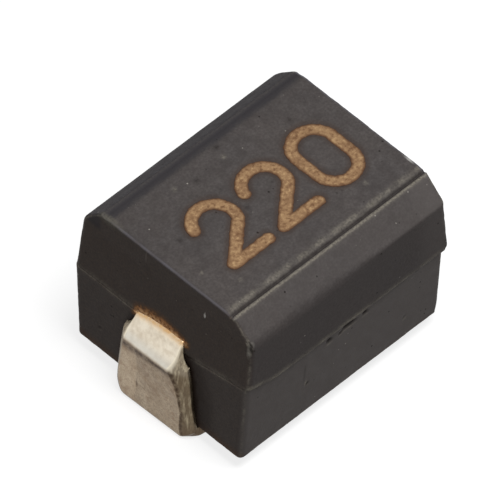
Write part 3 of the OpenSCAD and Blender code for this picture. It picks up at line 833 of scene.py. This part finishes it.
def build_terminal(name, node, side, seed, material):
    """A strip at -X or +X, by its side; the seed moves its wear."""
    out = max(abs(strip_lo[0]), abs(strip_hi[0]))
    crease = PARTING - CREASE_DROP
    sections, across, along, front = strip_sections(out, crease)
    loop, rows = len(sections[0]), len(sections)
    P = np.concatenate(sections)

    # crown and dents of the outer face, and a scratch on the left strip
    dent = 0.0035 * lumps(P + seed, 0.16, 31) + 0.0016 * lumps(P + seed, 0.05, 32) - 0.003
    dent -= 0.004 * front * np.abs(across) ** 3
    if side < 0:
        scratch = path_distance(P[:, 1], P[:, 2], [(0.16, 0.30), (0.20, 0.40)])
        dent -= 0.006 * np.exp(-((scratch / 0.012) ** 2))
    leg = smooth(0.0, 0.08, along - 0.16) * (P[:, 2] > 0.03)
    out_dir = np.where(P[:, 2:3] > crease, [[0.87, 0, 0.50]], [[1.0, 0, 0]])
    P = P + out_dir * (dent * leg * front)[:, None]

    # the strips stand a little askew, the left one more so
    P[:, 2] += at_stations(P[:, 1], EXIT_LIFT[side]) * smooth(PARTING - 0.17, PARTING - 0.02, P[:, 2])
    if side < 0:
        P[:, 0] -= 0.016 * np.clip((0.39 - P[:, 1]) / 0.76, 0, 1.2) * smooth(PARTING, 0.7, P[:, 2]) \
            * smooth(1.2, 1.45, P[:, 0])
        P[:, 1] += at_stations(P[:, 2], SWAY)

    faces = []
    for i in range(rows - 1):
        for k in range(loop):
            n = (k + 1) % loop
            faces.append([i * loop + k, i * loop + n, (i + 1) * loop + n, (i + 1) * loop + k])
    for row, flip in ((0, True), (rows - 1, False)):
        centre = len(P)
        P = np.concatenate([P, P[row * loop:(row + 1) * loop].mean(axis=0)[None]])
        for k in range(loop):
            a, b = row * loop + k, row * loop + (k + 1) % loop
            faces.append([b, a, centre] if flip else [a, b, centre])
    front = np.append(front, (0, 0))
    P[:, 0] = np.clip(P[:, 0] * side, -out, out)
    P[:, 2] = np.clip(P[:, 2], 0, None)
    if side < 0:
        faces = [f[::-1] for f in faces]
    return piece(name, P, faces, node, material, strip_masks(P, side, crease, front))


# ---- materials


def resin():
    s = Shader("moulding_resin", Specular_IOR_Level=0.035)
    fine, medium, broad = s.noise(40, 3), s.noise(9, 4), s.noise(1.3, 3)
    mottled = s.span(s.noise(26, 3), 0.35, 0.6, 0.45, 1)

    # the resin itself; painted shade on its walls below the chamfer, a warm painted shade on the end at -X,
    # painted light on the long walls and painted shade along the top's edge at +Y
    s.color = s.mix(s.span(medium, 0.3, 0.7), (72, 68, 67), (89, 85, 84))
    s.over(s.span(broad, 0.35, 0.65, 0, 0.4), (94, 87, 83))
    # painted shade on the walls below the chamfer
    s.paint("wall", 0.6, (70, 65, 64))
    # warm painted shade on the end at -X
    s.paint("end", 0.75, (83, 72, 64))
    s.over(s.span(fine, 0.35, 0.68, 0.6, 0.1), (62, 58, 57))
    s.paint("lit", 0.8, (98, 93, 91))
    # painted shade along the top's edge at +Y
    s.paint("far", 0.9, (55, 53, 56))

    # pale specks and dark pits, the mark's darker surround, and a painted highlight on the rim at -X
    specks = s.times(s.span(s.cells(15), 0.16, 0.10), s.span(s.noise(5.5, 2), 0.64, 0.7))
    s.over(specks, (146, 141, 134))
    dots = s.cells(11, s.mapped(s.place, (1.07, 0.93, 1.13)))
    pits = s.times(s.span(dots, 0.17, 0.10), s.span(s.noise(4.1, 2), 0.56, 0.64))
    s.over(s.times(pits, 0.8), (26, 22, 21))
    s.paint("halo", 0.5, (64, 50, 42))
    s.paint("rim", 0.6, (104, 103, 110))

    # a warm tone round the strips, a painted warm reflection along the foot, then painted highlights with
    # pale flecks, and painted shade with dark stains, a scratch and a pinhole
    warm = s.times(s.attribute("warm"), mottled)
    s.over(s.span(warm, 0.0, 0.4), (104, 76, 54))
    s.over(s.span(warm, 0.3, 0.62), (176, 126, 84))
    s.over(s.span(warm, 0.6, 0.95), (232, 192, 146))
    # painted warm reflection along the foot
    s.paint("foot", mottled, (96, 72, 54))
    # painted highlights, with pale flecks
    s.paint("pale", s.span(fine, 0.35, 0.6, 0.35, 0.95), (136, 130, 118))
    # painted shade in hollows, with dark stains
    s.paint("dark", 0.88, (22, 17, 15))

    # single marks near the -X end: a painted highlight on the upright corner, a scratch, wear with a painted
    # highlight on the top's edge at +Y, the painted shadow beside the strips, painted shade in the nick, pale
    # flecks, and a painted glint on the +X end
    broken = s.span(s.noise(30, 3), 0.35, 0.6, 0.3, 0.95)
    corner_highlight = s.times(s.spot((-1.35, -1.180, 1.856), (0.06, 0.024, 0.095)), broken)
    scratch = s.times(s.spot((-1.36, 0.299, 2.060), (0.2, 0.011, 0.075)), 0.55)
    wear_and_highlight = s.times(s.spot((-1.340, 0.870, 2.150), (0.035, 0.15, 0.05), 0.9),
                   s.span(fine, 0.35, 0.6, 0.5, 0.8))
    dent = s.either(s.spot((-1.340, -1.22, 1.875), (0.014, 0.08, 0.055)),
                    s.spot((-1.330, -1.21, 1.915), (0.012, 0.08, 0.035)))
    fleck = s.spot((-1.36, -0.552, 1.871), (0.2, 0.013, 0.030))
    small_fleck = s.spot((-1.36, -0.556, 1.906), (0.2, 0.008, 0.018))
    s.over(corner_highlight, (138, 134, 126))
    s.over(scratch, (104, 96, 90))
    s.over(wear_and_highlight, (104, 100, 90))
    # painted shadow beside the strips
    s.paint("contact_shadow", 0.95, (24, 14, 8))
    # painted shade in the nick
    s.over(s.times(dent, 0.85), (24, 19, 18))
    s.over(fleck, (196, 192, 186))
    s.over(small_fleck, (140, 134, 128))
    # painted glint on the +X end
    s.over(s.attribute("fleck"), (206, 204, 200))
    grain = s.relief(fine, 0.0026, 0.6, under=s.relief(medium, 0.004, 0.5))
    return s.done(grain, s.span(medium, 0.3, 0.7, 0.52, 0.66))


def burnt():
    s = Shader("laser_marking", Specular_IOR_Level=0.1, Roughness=0.78)
    grains = s.noise(24, 4, 0.6)
    patches = s.noise(7, 3)
    s.color = s.mix(s.span(patches, 0.35, 0.65), (134, 104, 76), (154, 123, 90))
    s.over(s.span(grains, 0.34, 0.48, 1, 0), (112, 82, 58))
    s.over(s.span(grains, 0.54, 0.68), (176, 144, 106))
    s.over(s.span(s.attribute("inner"), 0, 1, 1, 0), (86, 60, 44))
    return s.done(s.relief(grains, 0.006, 0.8))


def tinned():
    s = Shader("tinned_strip", Metallic=1.0)
    fine, blotch, stain = s.noise(46, 3), s.noise(5, 4), s.noise(8, 4, 0.65)
    rolled = s.noise(16, 3, vector=s.mapped(s.place, (1, 1, 0.35)))
    streaks = s.noise(17, 3, vector=s.mapped(s.place, (2.2, 2.2, 0.3)))
    ragged = s.span(s.noise(20, 4, 0.65), 0.32, 0.56, 0.45, 1.0)
    mottled = s.span(s.noise(26, 3), 0.35, 0.6, 0.5, 1)

    # the tin, its stains, and painted shade on the upper front and in the crease under the facet
    s.color = s.mix(s.span(blotch, 0.34, 0.68), (154, 137, 115), (188, 173, 151))
    s.over(s.span(rolled, 0.30, 0.72, 0.0, 0.45), (146, 128, 106))
    s.over(s.span(fine, 0.36, 0.56, 0.45, 0.0), (116, 98, 78))
    s.over(s.span(stain, 0.54, 0.66, 0.0, 0.45), (122, 97, 74))
    s.paint("shade", 0.85, (104, 84, 66))
    # painted shade in the crease under the facet
    s.paint("crease", ragged, (66, 51, 40))

    # the facet, lighter tin with a painted highlight and a cool painted highlight low on it, a nick, the
    # scored bevels, painted highlights on the facet's edges and a dark line along the bevels' border
    facet_tin_and_highlight = s.mix(s.span(s.noise(13, 4), 0.36, 0.62), (200, 187, 168), (224, 214, 197))
    # cool painted highlight low on the facet
    facet_tin_and_highlight = s.mix(s.times(s.attribute("cool_highlight"), 0.6), facet_tin_and_highlight, (196, 196, 192))
    s.over(s.attribute("facet"), facet_tin_and_highlight)
    s.over(s.times(s.spot((-1.59, 0.18, 0.35), (0.1, 0.014, 0.045)), 0.7), (88, 68, 52))
    scored = s.mix(s.span(streaks, 0.46, 0.70), (100, 87, 68), (158, 146, 122))
    s.paint("edge", 0.88, scored)
    # painted highlights on the facet's edges
    s.paint("rim", 0.8, (250, 240, 216))
    s.paint("crest", ragged, (58, 44, 32))

    # a warm tone where the strip leaves the resin, and painted shade on the foot and along the bottom edge
    exit_tone = s.mix(s.span(s.attribute("exit"), 0.3, 1.0), (232, 206, 168), (206, 168, 120))
    s.paint("exit", mottled, exit_tone)
    # painted shade on the foot and along the bottom edge
    s.paint("low", 0.8, (92, 77, 62))
    grain = s.relief(fine, 0.003, 0.5, under=s.relief(rolled, 0.006, 0.45))
    return s.done(grain, s.span(blotch, 0.3, 0.7, 0.36, 0.52))


def ferrite(name, dark, light):
    s = Shader(name, Specular_IOR_Level=0.55)
    grain = s.noise(42, 4, 0.7)
    tone = s.noise(3.5, 3)
    s.color = s.mix(s.span(grain, 0.35, 0.65), dark, light)
    s.over(s.span(tone, 0.4, 0.7, 0, 0.4), (70, 64, 60))
    return s.done(s.relief(grain, 0.005, 0.6), s.span(grain, 0.3, 0.7, 0.42, 0.62))


def copper_wire():
    s = Shader("enamelled_wire", Coat_Weight=0.6, Coat_Roughness=0.12, Metallic=1.0)
    streak = s.noise(24, 3, vector=s.mapped(s.place, (3, 0.6, 0.6)))
    tone = s.noise(4, 2)
    s.color = s.mix(s.span(streak, 0.35, 0.65), (150, 74, 40), (196, 108, 62))
    s.over(s.span(tone, 0.4, 0.65, 0, 0.5), (120, 50, 28))
    return s.done(s.relief(streak, 0.002, 0.4), s.span(streak, 0.3, 0.7, 0.28, 0.42))


def adhesive():
    s = Shader("core_adhesive", Specular_IOR_Level=0.5)
    flow = s.noise(9, 3)
    specks = s.noise(48, 2)
    s.color = s.mix(s.span(flow, 0.35, 0.65), (176, 152, 104), (206, 184, 138))
    s.over(s.span(specks, 0.62, 0.72, 0, 0.6), (128, 104, 66))
    return s.done(s.relief(flow, 0.006, 0.4), s.span(flow, 0.3, 0.7, 0.25, 0.45))


def weld():
    s = Shader("weld_metal", Metallic=1.0)
    ripple = s.noise(34, 3)
    tone = s.noise(11, 3)
    s.color = s.mix(s.span(tone, 0.35, 0.65), (150, 144, 132), (186, 170, 146))
    s.over(s.span(ripple, 0.58, 0.7, 0, 0.6), (96, 84, 72))
    return s.done(s.relief(ripple, 0.006, 0.6), s.span(ripple, 0.3, 0.7, 0.32, 0.55))


RESIN, BURNT, TINNED = resin(), burnt(), tinned()
build_body(RESIN)
build_mark(BURNT)
build_terminal("left_strip", "left_terminal", -1, 0, TINNED)
build_terminal("right_strip", "right_terminal", 1, 7.3, TINNED)

# the pieces inside keep their solids
bond, bead = adhesive(), weld()
carried = {
    "drum_core": ferrite("core_ferrite", (44, 42, 41), (62, 59, 57)),
    "shield_sleeve": ferrite("sleeve_ferrite", (50, 48, 46), (74, 70, 67)),
    "winding": copper_wire(), "left_core_bond": bond, "right_core_bond": bond,
    "left_wire_weld": bead, "right_wire_weld": bead,
}
for node, material in carried.items():
    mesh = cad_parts[node].data
    mesh.materials.clear()
    mesh.materials.append(material)

# ---- stage, light and camera

FLOOR_GREY, FLOOR_GLOW, FLOOR_HALF, FLOOR_Z = 0.36, 0.78, 0.09, -4e-6  # the last two in metres
WORLD_LIGHT = 0.28  # strength of the world on the object; shown rays see 1


def is_shown_ray(tree):
    """1 for camera, glossy and transmission rays, which see the plain background."""
    path = add_node(tree, "LightPath", {}).outputs
    value = path["Is Camera Ray"]
    for name in ("Is Glossy Ray", "Is Transmission Ray"):
        value = add_node(tree, "Math", {0: value, 1: path[name]}, operation="MAXIMUM").outputs[0]
    return value


def floor_material():
    """Grey under the lamp, to keep the shadow, and lifted to white for the shown rays."""
    material = bpy.data.materials.new("floor_white")
    material.use_nodes = True
    tree = material.node_tree
    bsdf = tree.nodes["Principled BSDF"]
    for key, value in (("Base Color", (FLOOR_GREY, FLOOR_GREY, FLOOR_GREY, 1)), ("Roughness", 0.9),
                       ("Specular IOR Level", 0.0)):
        bsdf.inputs[key].default_value = value
    lift = add_node(tree, "Math", {0: is_shown_ray(tree), 1: FLOOR_GLOW}, operation="MULTIPLY").outputs[0]
    glow = add_node(tree, "Emission", {"Color": (1, 1, 1, 1), "Strength": lift}).outputs[0]
    both = add_node(tree, "AddShader", {0: bsdf.outputs[0], 1: glow}).outputs[0]
    tree.links.new(both, tree.nodes["Material Output"].inputs["Surface"])
    return material


def build_floor():
    mesh = bpy.data.meshes.new("floor")
    corners = [(-1, -1), (1, -1), (1, 1), (-1, 1)]
    mesh.from_pydata([(FLOOR_HALF * x, FLOOR_HALF * y, FLOOR_Z) for x, y in corners], [], [(0, 1, 2, 3)])
    floor = bpy.data.objects.new("floor", mesh)
    bpy.context.scene.collection.objects.link(floor)
    mesh.materials.append(floor_material())


def build_world():
    world = bpy.data.worlds.new("studio")
    bpy.context.scene.world = world
    world.use_nodes = True
    tree = world.node_tree
    back = tree.nodes["Background"]
    back.inputs["Color"].default_value = (1, 1, 1, 1)
    level = add_node(tree, "MapRange", {"Value": is_shown_ray(tree), "To Min": WORLD_LIGHT, "To Max": 1.0})
    tree.links.new(level.outputs["Result"], back.inputs["Strength"])


def area_lamp(name, direction, distance_mm, size_mm, level):
    """A soft round lamp; level is what a white face turned to it would show."""
    light = bpy.data.lights.new(name, "AREA")
    light.shape = "DISK"
    light.size = size_mm * MM
    light.energy = level * math.pi**2 * (distance_mm * MM) ** 2
    lamp = bpy.data.objects.new(name, light)
    bpy.context.scene.collection.objects.link(lamp)
    direction = Vector(direction).normalized()
    lamp.location = (cad_lo + cad_hi) / 2 + direction * distance_mm * MM
    lamp.rotation_mode = "QUATERNION"
    lamp.rotation_quaternion = (-direction).to_track_quat("-Z", "Y")


build_floor()
build_world()
area_lamp("key", (0.0, -0.27, 1.0), 16, 9, 0.80)

# the view: a long lens, aimed a little beside the middle of the part
AZIMUTH, ELEVATION, ROLL = math.radians(-45.77), math.radians(50.11), math.radians(1.29)
LENS, SENSOR, FRAME_W = 1420.0, 36.0, 5.0653
AIM, AIM_LEFT, AIM_UP = (-0.0174, 0.0114, 0.1139), 0.0917, 0.0670
right = Vector((math.cos(AZIMUTH), math.sin(AZIMUTH), 0))
level = math.cos(ELEVATION)
back = Vector((math.sin(AZIMUTH) * level, -math.cos(AZIMUTH) * level, math.sin(ELEVATION)))
up = back.cross(right)
right, up = right * math.cos(ROLL) + up * math.sin(ROLL), up * math.cos(ROLL) - right * math.sin(ROLL)
middle = (Vector(cad_lo) + Vector(cad_hi)) / 2
target = Vector((AIM[0], AIM[1], middle.z / MM + AIM[2])) - AIM_LEFT * right + AIM_UP * up
distance = FRAME_W * LENS / SENSOR
camera_data = bpy.data.cameras.new("camera")
camera_data.lens, camera_data.sensor_width = LENS, SENSOR
camera_data.clip_start, camera_data.clip_end = 0.01, 1.0
camera = bpy.data.objects.new("camera", camera_data)
bpy.context.scene.collection.objects.link(camera)
camera.location = (target + back * distance) * MM
camera.rotation_mode = "QUATERNION"
camera.rotation_quaternion = Matrix((right, up, back)).transposed().to_quaternion()
bpy.context.scene.camera = camera
bpy.context.scene.view_settings.view_transform = "Standard"

bpy.context.view_layer.update()
